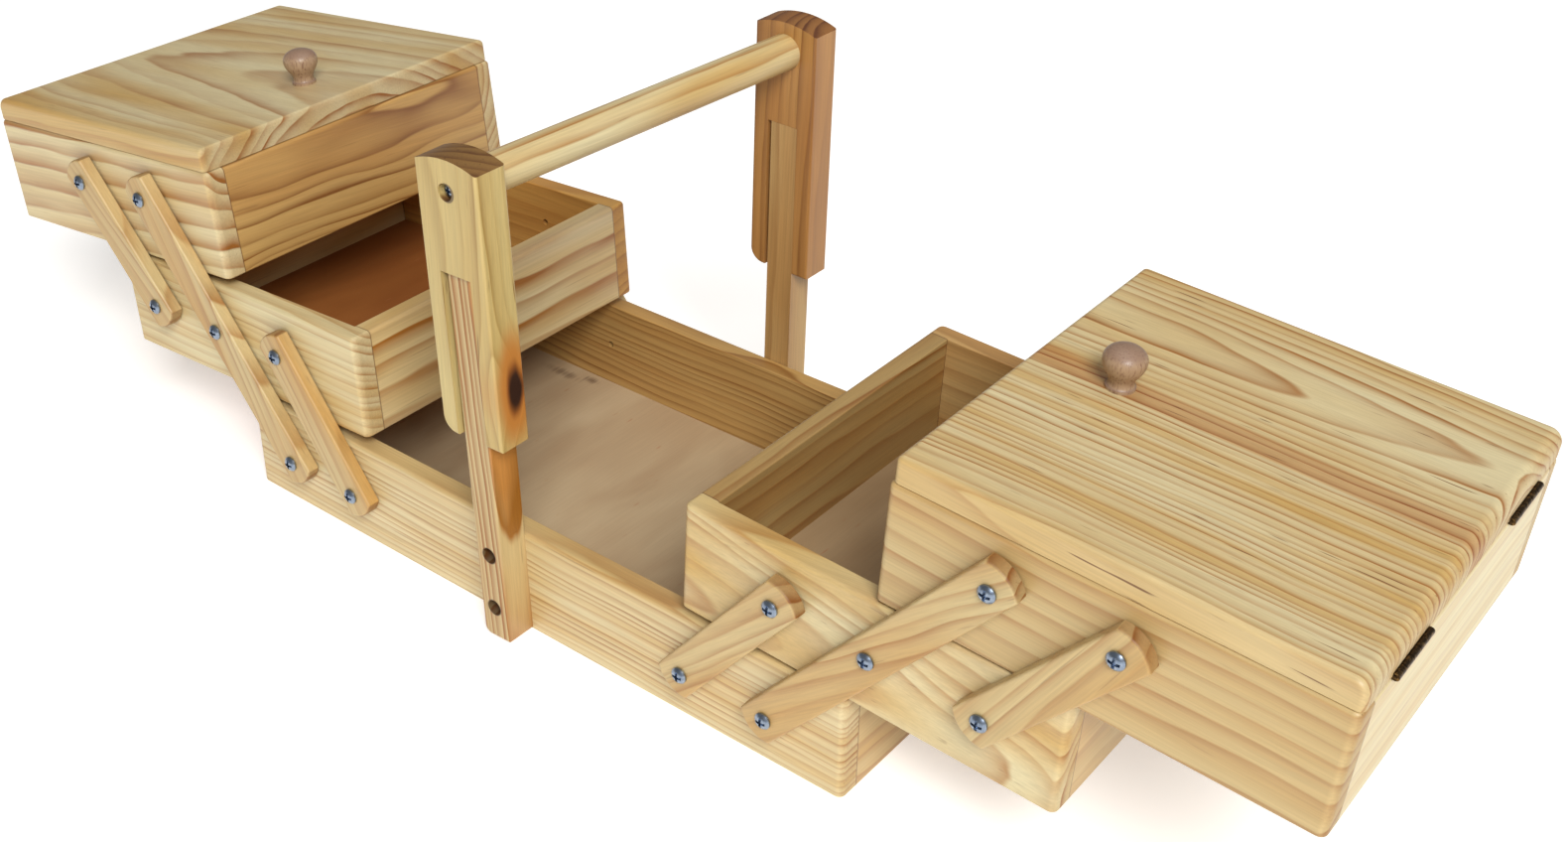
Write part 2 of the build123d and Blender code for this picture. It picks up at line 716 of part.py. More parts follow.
def wing_nodes(wing, knob_place):
    """All nodes of a wing, placed as the right wing."""
    tray_place = Pos(wing.tray_corner[0], 0, wing.tray_corner[1]) * Rot(0, wing.tray_droop, 0)
    top_place = Pos(wing.top_corner[0], 0, wing.top_corner[1]) * Rot(0, wing.top_droop, 0)
    nodes = {}
    for name, piece in box_pieces(tray_length, wing_width, tray_height, wing.tray_pivots).items():
        nodes[f"tray_{name}"] = tray_place * piece
    for name, piece in drilled_top_box(wing).items():
        nodes[f"top_{name}"] = top_place * piece
    nodes["tray_arm_screws"] = group(tray_place * screw for screw in arm_screws(wing.tray_pivots))
    nodes["top_arm_screws"] = group(top_place * screw for screw in arm_screws(wing.top_pivots))
    knob_centre = lid_inner_inset + knob_place[0], knob_place[1]
    nodes["lid"] = top_place * lid(knob_centre)
    nodes["knob"] = top_place * knob(knob_centre)
    nodes["knob_screw"] = top_place * knob_screw(knob_centre)
    for name, solids in hinge_parts().items():
        nodes[name] = group(top_place * solid for solid in solids)

    long_arm = arm([arm_hole_spacing] * 2, upper_hole_drop, [pivot_clearance] * 3)
    short_clearances = [pivot_clearance, loop_clearance]
    lower_arm = arm([wing.lower_spacing], 0, short_clearances)
    upper_arm = arm([wing.upper_spacing], 0, short_clearances)
    base_lower, base_long = wing.base_pivots
    arms = {
        "long_arm": hung_arm(long_arm, base_long, wing.long_angle),
        "lower_arm": hung_arm(lower_arm, base_lower, wing.lower_angle),
        "upper_arm": hung_arm(upper_arm, wing.upper_start, wing.upper_angle),
    }
    for name, front in arms.items():
        nodes[f"front_{name}"] = front
        nodes[f"rear_{name}"] = mirror(front, about=Plane.XZ)
    return nodes


def all_nodes():
    nodes = base_nodes()
    nodes.update(handle_nodes())
    for name, solid in wing_nodes(right_wing, right_knob_place).items():
        nodes[f"right_{name}"] = solid
    for name, solid in wing_nodes(left_wing, left_knob_place).items():
        nodes[f"left_{name}"] = mirror(solid, about=Plane.YZ)
    return nodes


os.makedirs("parts", exist_ok=True)
for node_name, node_shape in all_nodes().items():
    export_step(node_shape, f"parts/{node_name}.step")
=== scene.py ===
import json
import math

import bpy
from mathutils import Matrix, Vector


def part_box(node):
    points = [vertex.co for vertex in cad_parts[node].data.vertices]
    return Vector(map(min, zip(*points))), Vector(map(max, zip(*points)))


# A pine sewing box with two wings of trays and lidded boxes, standing open under its handle.
# Metres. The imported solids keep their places; here they get their wood, metal and plywood.

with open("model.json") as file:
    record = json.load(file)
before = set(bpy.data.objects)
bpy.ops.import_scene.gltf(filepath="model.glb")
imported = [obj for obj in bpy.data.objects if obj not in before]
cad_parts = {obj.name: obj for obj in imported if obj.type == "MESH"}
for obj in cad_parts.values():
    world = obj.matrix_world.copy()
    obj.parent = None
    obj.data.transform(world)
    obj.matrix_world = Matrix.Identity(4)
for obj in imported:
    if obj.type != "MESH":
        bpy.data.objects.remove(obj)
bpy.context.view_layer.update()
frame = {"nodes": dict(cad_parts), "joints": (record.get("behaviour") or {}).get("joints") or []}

MM = 0.001
SIDES = {"right": 1, "left": -1}

# How the wings stand open, in degrees above level
OPEN_ANGLE = {"right": 49.6, "left": 51.0}
# How the handle's two sides lean to the left, in degrees
LEAN = {"front": 2.0, "rear": -1.0}
# The bar runs a little askew over the box, in degrees from straight back
BAR_SKEW = -3.5
# The handle at the underside, its screws' heights along it and their counterbores, in millimetres
HANDLE_MIDDLE = 0.4
POST_MIDDLE = 1.1
POST_SCREWS = (18.5, 48.5)
BAR_SCREW = 234.5
BORE_RADIUS = 4.1

# Camera: place and heading in metres and degrees, and the image's size in pixels
IMAGE_SIZE = (1580, 848)
CAMERA_PLACE = (0.523043, -0.588939, 0.571347)
CAMERA_YAW = 38.712
CAMERA_PITCH = -30.138
CAMERA_ROLL = 0.243
FOCAL_PIXELS = 1862.352
IMAGE_CENTRE = (736.276, 340.0)
SENSOR_WIDTH = 36.0

# Lights: place, the point it faces and side in metres, and power in watts
WINDOW = ((2.9, -2.475, 3.625), (0.05, 0, 0.1), 2.0, 255)
CEILING = ((0.1, 0.3, 2.2), (0, 0, 0), 1.6, 8)
SKY_COLOUR = (1.0, 0.99, 0.97, 1.0)
SKY_STRENGTH = 0.22
FLOOR_HALF = 6.0

# Boards are taken from the log this far apart, in millimetres, so no two are alike
LOG_STEP = 400.0

# Settings that many nodes share
COLOUR_MIX = {"output": "Result", "data_type": "RGBA"}
TINT_MIX = {"blend_type": "MULTIPLY", **COLOUR_MIX}
SMOOTH = {"interpolation_type": "SMOOTHSTEP"}


def linear(hex_colour):
    """An sRGB colour such as "E8CFA0" as linear red, green, blue and an alpha of 1."""
    channels = [int(hex_colour[i:i + 2], 16) / 255 for i in (0, 2, 4)]
    return tuple(c / 12.92 if c <= 0.04045 else ((c + 0.055) / 1.055) ** 2.4 for c in channels) + (1.0,)


def add(tree, kind, inputs=(), output=0, **settings):
    """Adds a node and returns one of its outputs, or nothing where it has none.

    A setting is an attribute of the node. An input gets a link if its value is a socket, and
    keeps the value as a constant if it is anything else.
    """
    made = tree.nodes.new("ShaderNode" + kind)
    for name, setting in settings.items():
        setattr(made, name, setting)
    for place, value in dict(inputs).items():
        if isinstance(value, bpy.types.NodeSocket):
            tree.links.new(value, made.inputs[place])
        else:
            made.inputs[place].default_value = value
    return made.outputs[output] if made.outputs else None


def stretched_noise(tree, at, lengths, **look):
    """Noise whose lumps have the given lengths along x, y and z, in millimetres."""
    shrunk = add(tree, "VectorMath", {0: at, 1: tuple(1 / length for length in lengths)},
                 operation="MULTIPLY")
    return add(tree, "TexNoise", {"Vector": shrunk, "Scale": 1.0, **look})


def turned_coordinates(tree, place, turn):
    """Object coordinates seen from a place and turned by a matrix, in millimetres."""
    at = add(tree, "TexCoord", output="Object")
    return add(tree, "Mapping", {"Vector": at, "Location": tuple(place),
                                 "Rotation": tuple(turn.to_euler("XYZ")), "Scale": (MM, MM, MM)},
               vector_type="TEXTURE")


def new_group(name, inputs, outputs):
    """An empty node group with its sockets, and the group's own input and output nodes."""
    tree = bpy.data.node_groups.new(name, "ShaderNodeTree")
    for socket_name, kind, value in inputs:
        socket = tree.interface.new_socket(socket_name, in_out="INPUT", socket_type="NodeSocket" + kind)
        if value is not None:
            socket.default_value = value
    for socket_name, kind in outputs:
        tree.interface.new_socket(socket_name, in_out="OUTPUT", socket_type="NodeSocket" + kind)
    return tree, tree.nodes.new("NodeGroupInput"), tree.nodes.new("NodeGroupOutput")


def new_material(name):
    """A material with no nodes yet."""
    material = bpy.data.materials.new(name)
    material.use_nodes = True
    material.node_tree.nodes.clear()
    return material


# Pine

PINE_INPUTS = (
    ("Log", "Vector", None), ("Knot", "Vector", (99.0, 99.0, 99.0)), ("End", "Float", 0.0),
    ("Ring", "Float", 4.0), ("Waver", "Float", 2.0), ("Contrast", "Float", 0.7),
    ("Sharp", "Float", 2.3), ("Bands", "Float", 0.35),
    ("Honey", "Float", 0.3), ("Resin", "Float", 0.5), ("Heart", "Float", -50.0),
    ("End tone", "Float", 0.25), ("Knot lift", "Float", 0.0), ("Knot dark", "Float", 0.0),
    ("Earlywood", "Color", linear("D5C295")), ("Latewood", "Color", linear("98662F")),
    ("Honeyed", "Color", linear("C4985A")))
PINE_OUTPUTS = (("Colour", "Color"), ("Roughness", "Float"), ("Height", "Float"))


def ring_radius(tree, given, knot_distance):
    """The distance from the pith, bent by slow noise, finely rippled, and lifted round a knot."""
    bend = stretched_noise(tree, given["Log"], (150, 45, 45), Detail=2.0, Roughness=0.45)
    bend = add(tree, "MapRange", {"Value": bend, "From Min": 0.25, "From Max": 0.75, "To Min": -1.0,
                                  "To Max": 1.0}, clamp=False)
    bend = add(tree, "Math", {0: bend, 1: given["Waver"]}, operation="MULTIPLY")
    ripple = stretched_noise(tree, given["Log"], (34, 9, 9), Detail=1.0)
    across = add(tree, "VectorMath", {0: given["Log"], 1: (0.0, 1.0, 1.0)}, operation="MULTIPLY")
    radius = add(tree, "VectorMath", {0: across}, output="Value", operation="LENGTH")
    radius = add(tree, "Math", {0: radius, 1: bend}, operation="ADD")
    radius = add(tree, "Math", {0: ripple, 1: 1.1, 2: radius}, operation="MULTIPLY_ADD")
    hump = add(tree, "Math", {0: knot_distance, 1: 2.0}, operation="POWER")
    hump = add(tree, "Math", {0: hump, 1: -1.0}, operation="MULTIPLY")
    hump = add(tree, "Math", {0: hump}, operation="EXPONENT")
    return add(tree, "Math", {0: hump, 1: given["Knot lift"], 2: radius}, operation="MULTIPLY_ADD")


def ring_count(tree, given, radius):
    """Rings counted outwards from the pith, wider and narrower by turns."""
    count = add(tree, "Math", {0: radius, 1: given["Ring"]}, operation="DIVIDE")
    pace = add(tree, "TexNoise", {"W": count, "Scale": 0.21, "Detail": 1.0}, noise_dimensions="1D")
    return add(tree, "Math", {0: pace, 1: 2.4, 2: count}, operation="MULTIPLY_ADD")


def latewood_depth(tree, given, count, fading):
    """How dark the wood is within its ring: a slow rise, a hard outer edge, no two rings alike."""
    within = add(tree, "Math", {0: count}, operation="FRACT")
    number = add(tree, "Math", {0: count}, operation="FLOOR")
    rise = add(tree, "Math", {0: within, 1: given["Sharp"]}, operation="POWER")
    edge = add(tree, "MapRange", {"Value": within, "From Min": 0.88, "From Max": 1.0, "To Min": 1.0,
                                  "To Max": 0.0}, **SMOOTH)
    late = add(tree, "Math", {0: rise, 1: edge}, operation="MULTIPLY")
    strength = add(tree, "TexWhiteNoise", {"W": number}, noise_dimensions="1D")
    strength = add(tree, "MapRange", {"Value": strength, "To Min": 0.55, "To Max": 1.35})
    late = add(tree, "Math", {0: late, 1: strength}, operation="MULTIPLY")
    return add(tree, "Math", {0: late, 1: fading}, operation="MULTIPLY")


def honey_depth(tree, given, count):
    """Honey-coloured patches, a hand's breadth long, over whole groups of honey-coloured rings."""
    group = add(tree, "TexNoise", {"W": count, "Scale": 0.33, "Detail": 1.0}, noise_dimensions="1D")
    group = add(tree, "MapRange", {"Value": group, "From Min": 0.42, "From Max": 0.66}, **SMOOTH)
    group = add(tree, "Math", {0: group, 1: given["Bands"]}, operation="MULTIPLY")
    patch = stretched_noise(tree, given["Log"], (120, 22, 22), Detail=1.0)
    patch = add(tree, "MapRange", {"Value": patch, "From Min": 0.35, "From Max": 0.72})
    return add(tree, "Math", {0: patch, 1: given["Honey"], 2: group}, operation="MULTIPLY_ADD",
               use_clamp=True)


def resin_depth(tree, given):
    """Resin streaks, thin and 10 to 30 mm long."""
    streak = stretched_noise(tree, given["Log"], (34, 1.2, 1.2), Detail=0.0)
    streak = add(tree, "MapRange", {"Value": streak, "From Min": 0.77, "From Max": 0.86}, **SMOOTH)
    return add(tree, "Math", {0: streak, 1: given["Resin"]}, operation="MULTIPLY")


def pine_colour(tree, given, radius, count, late, fibre):
    """Earlywood, honey and heart, then latewood, resin, fibres and browner sawn ends over them."""
    end = given["End"]
    heart = add(tree, "Math", {0: given["Heart"], 1: radius}, operation="SUBTRACT")
    heart = add(tree, "MapRange", {"Value": heart, "From Min": -0.4, "From Max": 1.4}, **SMOOTH)
    shown = add(tree, "Math", {0: late, 1: given["Contrast"]}, operation="MULTIPLY")
    end_shown = add(tree, "Math", {0: late, 1: given["End tone"]}, operation="MULTIPLY")
    shown = add(tree, "Math", {0: end_shown, 1: end, 2: shown}, operation="MULTIPLY_ADD", use_clamp=True)
    colour = add(tree, "Mix", {"A": given["Earlywood"], "B": given["Honeyed"],
                               "Factor": honey_depth(tree, given, count)}, **COLOUR_MIX)
    colour = add(tree, "Mix", {"A": colour, "B": linear("D2924A"), "Factor": heart}, **COLOUR_MIX)
    colour = add(tree, "Mix", {"A": colour, "B": given["Latewood"], "Factor": shown}, **COLOUR_MIX)
    colour = add(tree, "Mix", {"A": colour, "B": linear("6E431E"), "Factor": resin_depth(tree, given)},
                 **COLOUR_MIX)
    grey = add(tree, "MapRange", {"Value": fibre, "From Min": 0.3, "From Max": 0.7, "To Min": 0.88,
                                  "To Max": 1.06})
    colour = add(tree, "Mix", {"A": colour, "B": grey, "Factor": 1.0}, **TINT_MIX)
    cut = add(tree, "Math", {0: end, 1: given["End tone"]}, operation="MULTIPLY")
    return add(tree, "Mix", {"A": colour, "B": linear("A88A68"), "Factor": cut}, **TINT_MIX)


def knot_stains(tree, given, colour, knot_distance, fading):
    """A dark pupil in two brown halos, each with a ragged edge."""
    ragged = add(tree, "Math", {0: fading, 1: 0.55, 2: knot_distance}, operation="MULTIPLY_ADD")
    for inner, outer, stain in ((0.95, 1.75, "B87834"), (0.7, 0.95, "8E5220"), (0.55, 0.8, "2E160A")):
        mask = add(tree, "MapRange", {"Value": ragged, "From Min": inner, "From Max": outer, "To Min": 1.0,
                                      "To Max": 0.0}, **SMOOTH)
        mask = add(tree, "Math", {0: mask, 1: given["Knot dark"]}, operation="MULTIPLY")
        colour = add(tree, "Mix", {"A": colour, "B": linear(stain), "Factor": mask}, **COLOUR_MIX)
    return colour


def sawn_pine():
    """Pine sawn from a log, in log coordinates: millimetres, x along the pith.

    The distance from the pith, bent by slow noise, divided by the ring width, counts the rings.
    In each ring the pale earlywood darkens into a hard brown edge of latewood, slowly or late as
    Sharp says. How strong a ring is differs from ring to ring and fades along the log, and
    Bands colours whole groups of rings. Fibres, resin streaks and honey patches are noise drawn
    out along the grain. Inside the heart's radius all of it is orange. A knot lifts the rings
    round it like a bump, with a dark pupil in a brown halo.
    """
    tree, inside, made = new_group("sawn pine", PINE_INPUTS, PINE_OUTPUTS)
    given = inside.outputs
    knot_distance = add(tree, "VectorMath", {0: given["Knot"]}, output="Value", operation="LENGTH")
    fading = stretched_noise(tree, given["Log"], (90, 16, 16), Detail=2.0)
    fading = add(tree, "MapRange", {"Value": fading, "From Min": 0.3, "From Max": 0.7, "To Min": 0.5,
                                    "To Max": 1.25})
    radius = ring_radius(tree, given, knot_distance)
    count = ring_count(tree, given, radius)
    late = latewood_depth(tree, given, count, fading)
    # Fibres, 0.5 to 1 mm apart, drawn out about fifty times along the grain
    fibre = stretched_noise(tree, given["Log"], (45, 0.9, 0.9), Detail=3.0, Roughness=0.6)
    colour = pine_colour(tree, given, radius, count, late, fibre)
    colour = knot_stains(tree, given, colour, knot_distance, fading)
    # Sheen: the hard latewood is smoother than the earlywood, and sawn ends are dull
    rough = add(tree, "MapRange", {"Value": late, "To Min": 0.48, "To Max": 0.38})
    rough = add(tree, "Math", {0: given["End"], 1: 0.2, 2: rough}, operation="MULTIPLY_ADD")
    # Relief: latewood stands proud where the sanding wore the soft earlywood away
    relief = add(tree, "Math", {0: fibre, 1: 0.3, 2: late}, operation="MULTIPLY_ADD")
    tree.links.new(colour, made.inputs["Colour"])
    tree.links.new(rough, made.inputs["Roughness"])
    tree.links.new(relief, made.inputs["Height"])
    return tree


PINE = sawn_pine()
GRAIN_TURN = {"X": Matrix.Identity(3), "Y": Matrix.Rotation(math.pi / 2, 3, "Z"),
              "Z": Matrix.Rotation(-math.pi / 2, 3, "Y")}


def sawn_end(tree, turn):
    """1 where a face cuts across the grain and 0 where it runs along it."""
    grain = turn @ Vector((1, 0, 0))
    facing = add(tree, "VectorMath", {0: add(tree, "TexCoord", output="Normal"), 1: tuple(grain)},
                 output="Value", operation="DOT_PRODUCT")
    facing = add(tree, "Math", {0: facing}, operation="ABSOLUTE")
    return add(tree, "MapRange", {"Value": facing, "From Min": 0.35, "From Max": 0.9}, **SMOOTH)


def strip_tint(tree, colour, at, strip):
    """Darkens a run of dense wood along the board, given its middle, half width and tint."""
    middle_line, half_width, tint = strip
    off = add(tree, "SeparateXYZ", {0: at}, output="Y")
    off = add(tree, "Math", {0: off, 1: middle_line}, operation="SUBTRACT")
    off = add(tree, "Math", {0: off}, operation="ABSOLUTE")
    dense = add(tree, "MapRange", {"Value": off, "From Min": half_width - 1.0,
                                   "From Max": half_width + 1.5, "To Min": 0.7, "To Max": 0.0}, **SMOOTH)
    return add(tree, "Mix", {"A": colour, "B": linear(tint), "Factor": dense}, **TINT_MIX)


def shaded_pair_tint(tree, colour, at, tint):
    """Tints the board of a pair on the plus side darker, as painted shade; both lie far from the middle
    between them.
    """
    side = add(tree, "SeparateXYZ", {0: at}, output="Y")
    side = add(tree, "MapRange", {"Value": side, "From Min": 5.0, "From Max": 6.0})
    return add(tree, "Mix", {"A": colour, "B": linear(tint), "Factor": side}, **TINT_MIX)


def butted_ends(tree, colour, at, seam):
    """A dark glue line, just under a millimetre wide, where the board butts at both ends."""
    along = add(tree, "SeparateXYZ", {0: at}, output="X")
    along = add(tree, "Math", {0: along}, operation="ABSOLUTE")
    dark = add(tree, "MapRange", {"Value": along, "From Min": seam - 0.9, "From Max": seam - 0.2,
                                  "To Max": 0.75}, **SMOOTH)
    return add(tree, "Mix", {"A": colour, "B": linear("5E3A1C"), "Factor": dark}, **COLOUR_MIX)


def shaded_bore(tree, colour, bore):
    """The wall of a hole drilled from front to back, darkened with painted shade."""
    radial = add(tree, "VectorMath", {0: turned_coordinates(tree, bore, Matrix.Identity(3)),
                                      1: (1.0, 0.0, 1.0)}, operation="MULTIPLY")
    radial = add(tree, "VectorMath", {0: radial}, output="Value", operation="LENGTH")
    # Painted shade: darker inside the hole's radius, where little light reaches
    brown = add(tree, "MapRange", {"Value": radial, "From Min": BORE_RADIUS + 0.1,
                                   "From Max": BORE_RADIUS + 0.6, "To Min": 0.8, "To Max": 0.0})
    return add(tree, "Mix", {"A": colour, "B": linear("452B17"), "Factor": brown}, **COLOUR_MIX)


def pine_board(name, centre, turn, pith, lean, start, knot=None, seam=0.0, bores=(),
               relief=0.15, strip=None, darker=None, **look):
    """One board's pine: where its pith ran beside the board and how it leant decide its figure.

    Pith and knot are millimetres from the board's middle, along its own axes. Lean is in degrees
    about the board's own z and y axes. Start moves the board along the log, so that no two are
    alike. Seam is half the length of a board that butts between two others, whose ends show as
    dark lines. Bores are places on the axes of drilled holes, whose walls get painted shade. Relief
    is the height of the latewood ridges, in millimetres. Strip is a run of dense, honey-coloured wood
    along the board: its middle across the grain, half its width, and its tint. Darker is a tint of
    painted shade for the board of a pair that lies on the plus side across the grain.
    """
    material = new_material(name)
    tree = material.node_tree
    slope = Matrix.Rotation(math.radians(lean[0]), 3, "Z") @ Matrix.Rotation(math.radians(lean[1]), 3, "Y")
    log_turn = turn @ slope
    pith_place = Vector(centre) + turn @ Vector((0, pith[0], pith[1])) * MM
    pith_place = pith_place - log_turn @ Vector((start, 0, 0)) * MM
    wood = tree.nodes.new("ShaderNodeGroup")
    wood.node_tree = PINE
    inputs = {"Log": turned_coordinates(tree, pith_place, log_turn), "End": sawn_end(tree, turn), **look}
    if knot:
        knot_place = Vector(centre) + turn @ Vector(knot[0]) * MM
        from_knot = turned_coordinates(tree, knot_place, turn)
        inputs["Knot"] = add(tree, "VectorMath", {0: from_knot, 1: tuple(1 / s for s in knot[1])},
                             operation="MULTIPLY")
    for place, value in inputs.items():
        if isinstance(value, bpy.types.NodeSocket):
            tree.links.new(value, wood.inputs[place])
        else:
            wood.inputs[place].default_value = value
    colour = wood.outputs["Colour"]
    at = turned_coordinates(tree, centre, turn)
    if strip:
        colour = strip_tint(tree, colour, at, strip)
    if darker:
        colour = shaded_pair_tint(tree, colour, at, darker)
    if seam:
        colour = butted_ends(tree, colour, at, seam)
    for bore in bores:
        colour = shaded_bore(tree, colour, bore)
    bumps = add(tree, "Bump", {"Height": wood.outputs["Height"], "Strength": 0.6, "Distance": relief * MM})
    # Sanded pine under a thin clear satin lacquer
    shader = add(tree, "BsdfPrincipled", {"Base Color": colour, "Roughness": wood.outputs["Roughness"],
                                          "Normal": bumps, "IOR": 1.5, "Coat Weight": 0.12,
                                          "Coat Roughness": 0.28})
    add(tree, "OutputMaterial", {"Surface": shader})
    return material


# Plywood, beech and metal

def finish_material(name, build):
    """A material whose shader is made by build(tree, object coordinates in millimetres)."""
    material = new_material(name)
    tree = material.node_tree
    at = turned_coordinates(tree, (0, 0, 0), Matrix.Identity(3))
    add(tree, "OutputMaterial", {"Surface": build(tree, at)})
    return material


def birch_plywood(tree, at, light="BFA885", dark="AD9270", marks=()):
    """Rotary-cut birch: pinkish beige and smooth, with a faint slow figure across the fibres.

    Marks are dark flecks in the sheet: a place and half sizes in millimetres, and a strength.
    """
    cloud = stretched_noise(tree, at, (34, 90, 30), Detail=2.0, Distortion=0.4)
    fibre = stretched_noise(tree, at, (0.9, 30, 1.0), Detail=2.0)
    tone = add(tree, "MapRange", {"Value": cloud, "From Min": 0.3, "From Max": 0.7})
    colour = add(tree, "Mix", {"A": linear(light), "B": linear(dark), "Factor": tone}, **COLOUR_MIX)
    grey = add(tree, "MapRange", {"Value": fibre, "From Min": 0.3, "From Max": 0.7, "To Min": 0.95,
                                  "To Max": 1.03})
    colour = add(tree, "Mix", {"A": colour, "B": grey, "Factor": 1.0}, **TINT_MIX)
    fleck = stretched_noise(tree, at, (2.2, 12, 4), Detail=0.0)
    fleck = add(tree, "MapRange", {"Value": fleck, "From Min": 0.8, "From Max": 0.88, "To Max": 0.5})
    colour = add(tree, "Mix", {"A": colour, "B": linear("A4643C"), "Factor": fleck}, **COLOUR_MIX)
    for place, half_sizes, strength in marks:
        off = add(tree, "VectorMath", {0: at, 1: place}, operation="SUBTRACT")
        off = add(tree, "VectorMath", {0: off, 1: half_sizes}, operation="DIVIDE")
        off = add(tree, "VectorMath", {0: off}, output="Value", operation="LENGTH")
        off = add(tree, "Math", {0: fibre, 1: 1.2, 2: off}, operation="MULTIPLY_ADD")
        mark = add(tree, "MapRange", {"Value": off, "From Min": 0.7, "From Max": 1.7, "To Min": strength,
                                      "To Max": 0.0}, **SMOOTH)
        colour = add(tree, "Mix", {"A": colour, "B": linear("4A2A18"), "Factor": mark}, **COLOUR_MIX)
    rough = add(tree, "MapRange", {"Value": fibre, "To Min": 0.55, "To Max": 0.68})
    relief = add(tree, "Bump", {"Height": fibre, "Strength": 0.3, "Distance": 0.00008})
    return add(tree, "BsdfPrincipled", {"Base Color": colour, "Roughness": rough, "Normal": relief,
                                        "IOR": 1.5})


def marked_plywood(tree, at):
    """The base's floor, with a pin knot and a bark streak near its rear left corner."""
    pin_knot = (-120.0, 83.0, 8.0), (7.0, 4.2, 9.0), 0.9
    bark_streak = (-139.0, 79.0, 8.0), (18.0, 4.6, 9.0), 0.6
    return birch_plywood(tree, at, marks=(pin_knot, bark_streak))


def shaded_plywood(tree, at):
    """The other floors, inside the boxes, are darker and browner, which paints the shade that falls in them.
    """
    return birch_plywood(tree, at, "AE9470", "9C7F5B")


def deep_shade_plywood(tree, at):
    """The left tray's floor is a dark red-brown, which paints the deep shade under the top box and the
    orange light bounced into it.
    """
    return birch_plywood(tree, at, "A0622C", "8A4E1E")


def turned_beech(tree, at):
    """Turned beech: greyish pink, short brown ray flecks along the knob, a darker end grain on top."""
    fleck = stretched_noise(tree, at, (0.7, 0.7, 4), Detail=1.0)
    fleck = add(tree, "MapRange", {"Value": fleck, "From Min": 0.5, "From Max": 0.75})
    slow = add(tree, "TexNoise", {"Vector": at, "Scale": 0.16, "Detail": 2.0})
    colour = add(tree, "Mix", {"A": linear("AE9273"), "B": linear("9D7E62"), "Factor": slow}, **COLOUR_MIX)
    colour = add(tree, "Mix", {"A": colour, "B": linear("7F5E48"), "Factor": fleck}, **COLOUR_MIX)
    up = add(tree, "SeparateXYZ", {0: add(tree, "TexCoord", output="Normal")}, output="Z")
    up = add(tree, "MapRange", {"Value": up, "From Min": 0.35, "From Max": 0.8, "To Max": 0.6}, **SMOOTH)
    colour = add(tree, "Mix", {"A": colour, "B": linear("86695A"), "Factor": up}, **COLOUR_MIX)
    rough = add(tree, "MapRange", {"Value": fleck, "To Min": 0.42, "To Max": 0.55})
    relief = add(tree, "Bump", {"Height": fleck, "Strength": 0.25, "Distance": 0.00008})
    return add(tree, "BsdfPrincipled", {"Base Color": colour, "Roughness": rough, "Normal": relief,
                                        "IOR": 1.5, "Coat Weight": 0.1, "Coat Roughness": 0.3})


def zinc_plated_steel(tree, at):
    """Blue-passivated zinc plate on steel: cold and bright, with faint cloudy tints."""
    cloud = add(tree, "TexNoise", {"Vector": at, "Scale": 0.55, "Detail": 2.0})
    tint = add(tree, "Mix", {"A": linear("A6B1BF"), "B": linear("66768E"), "Factor": cloud}, **COLOUR_MIX)
    rough = add(tree, "MapRange", {"Value": cloud, "To Min": 0.22, "To Max": 0.4})
    relief = add(tree, "Bump", {"Height": cloud, "Strength": 0.2, "Distance": 0.00005})
    return add(tree, "BsdfPrincipled", {"Base Color": tint, "Metallic": 1.0, "Roughness": rough,
                                        "Normal": relief})


def bronzed_steel(tree, at):
    """Steel with a dark bronze finish, rubbed brighter in spots."""
    spots = add(tree, "TexNoise", {"Vector": at, "Scale": 0.6, "Detail": 3.0})
    rubbed = add(tree, "MapRange", {"Value": spots, "From Min": 0.5, "From Max": 0.72})
    tint = add(tree, "Mix", {"A": linear("4A3A28"), "B": linear("9A7A4C"), "Factor": rubbed}, **COLOUR_MIX)
    rough = add(tree, "MapRange", {"Value": spots, "To Min": 0.5, "To Max": 0.35})
    relief = add(tree, "Bump", {"Height": spots, "Strength": 0.2, "Distance": 0.00005})
    return add(tree, "BsdfPrincipled", {"Base Color": tint, "Metallic": 1.0, "Roughness": rough,
                                        "Normal": relief})


# Which way each board lies

def dress(name, material):
    """Gives a solid its material in its own slot."""
    mesh = frame["nodes"][name].data
    mesh.materials.clear()
    mesh.materials.append(material)


def middle(name):
    """The middle of a solid's box."""
    low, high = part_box(name)
    return (low + high) / 2


def droop(side, tilt):
    """How far a box of a wing stands off level: the wing's travel less the box's own."""
    travel = {j["name"]: j["range_deg"] for j in frame["joints"]}
    return travel[side + "_wing_swing"][1] + travel[side + "_" + tilt][0]


def pieces_of_wood():
    """Each pine node by name, with the matrix that turns x along its grain."""
    level = GRAIN_TURN["X"]
    found = {"base_front_board": level, "base_rear_board": level, "base_end_boards": GRAIN_TURN["Y"]}
    for side, sign in SIDES.items():
        for box, tilt in (("tray", "tray_tilt"), ("top", "top_box_tilt")):
            hang = Matrix.Rotation(sign * math.radians(droop(side, tilt)), 3, "Y")
            for board in ("front_board", "rear_board"):
                found[f"{side}_{box}_{board}"] = hang
            found[f"{side}_{box}_end_boards"] = hang @ GRAIN_TURN["Y"]
            if box == "top":
                found[side + "_lid"] = hang
        arm_turn = Matrix.Rotation(-sign * math.radians(OPEN_ANGLE[side]), 3, "Y")
        for row in ("front", "rear"):
            for arm in ("long", "lower", "upper"):
                found[f"{side}_{row}_{arm}_arm"] = arm_turn
    for row, angle in LEAN.items():
        lean = Matrix.Rotation(-math.radians(angle), 3, "Y")
        for part in ("post", "cheek"):
            found[f"{row}_{part}"] = lean @ GRAIN_TURN["Z"]
    found["handle_bar"] = Matrix.Rotation(math.radians(BAR_SKEW), 3, "Z") @ GRAIN_TURN["Y"]
    return found


# Each board's figure

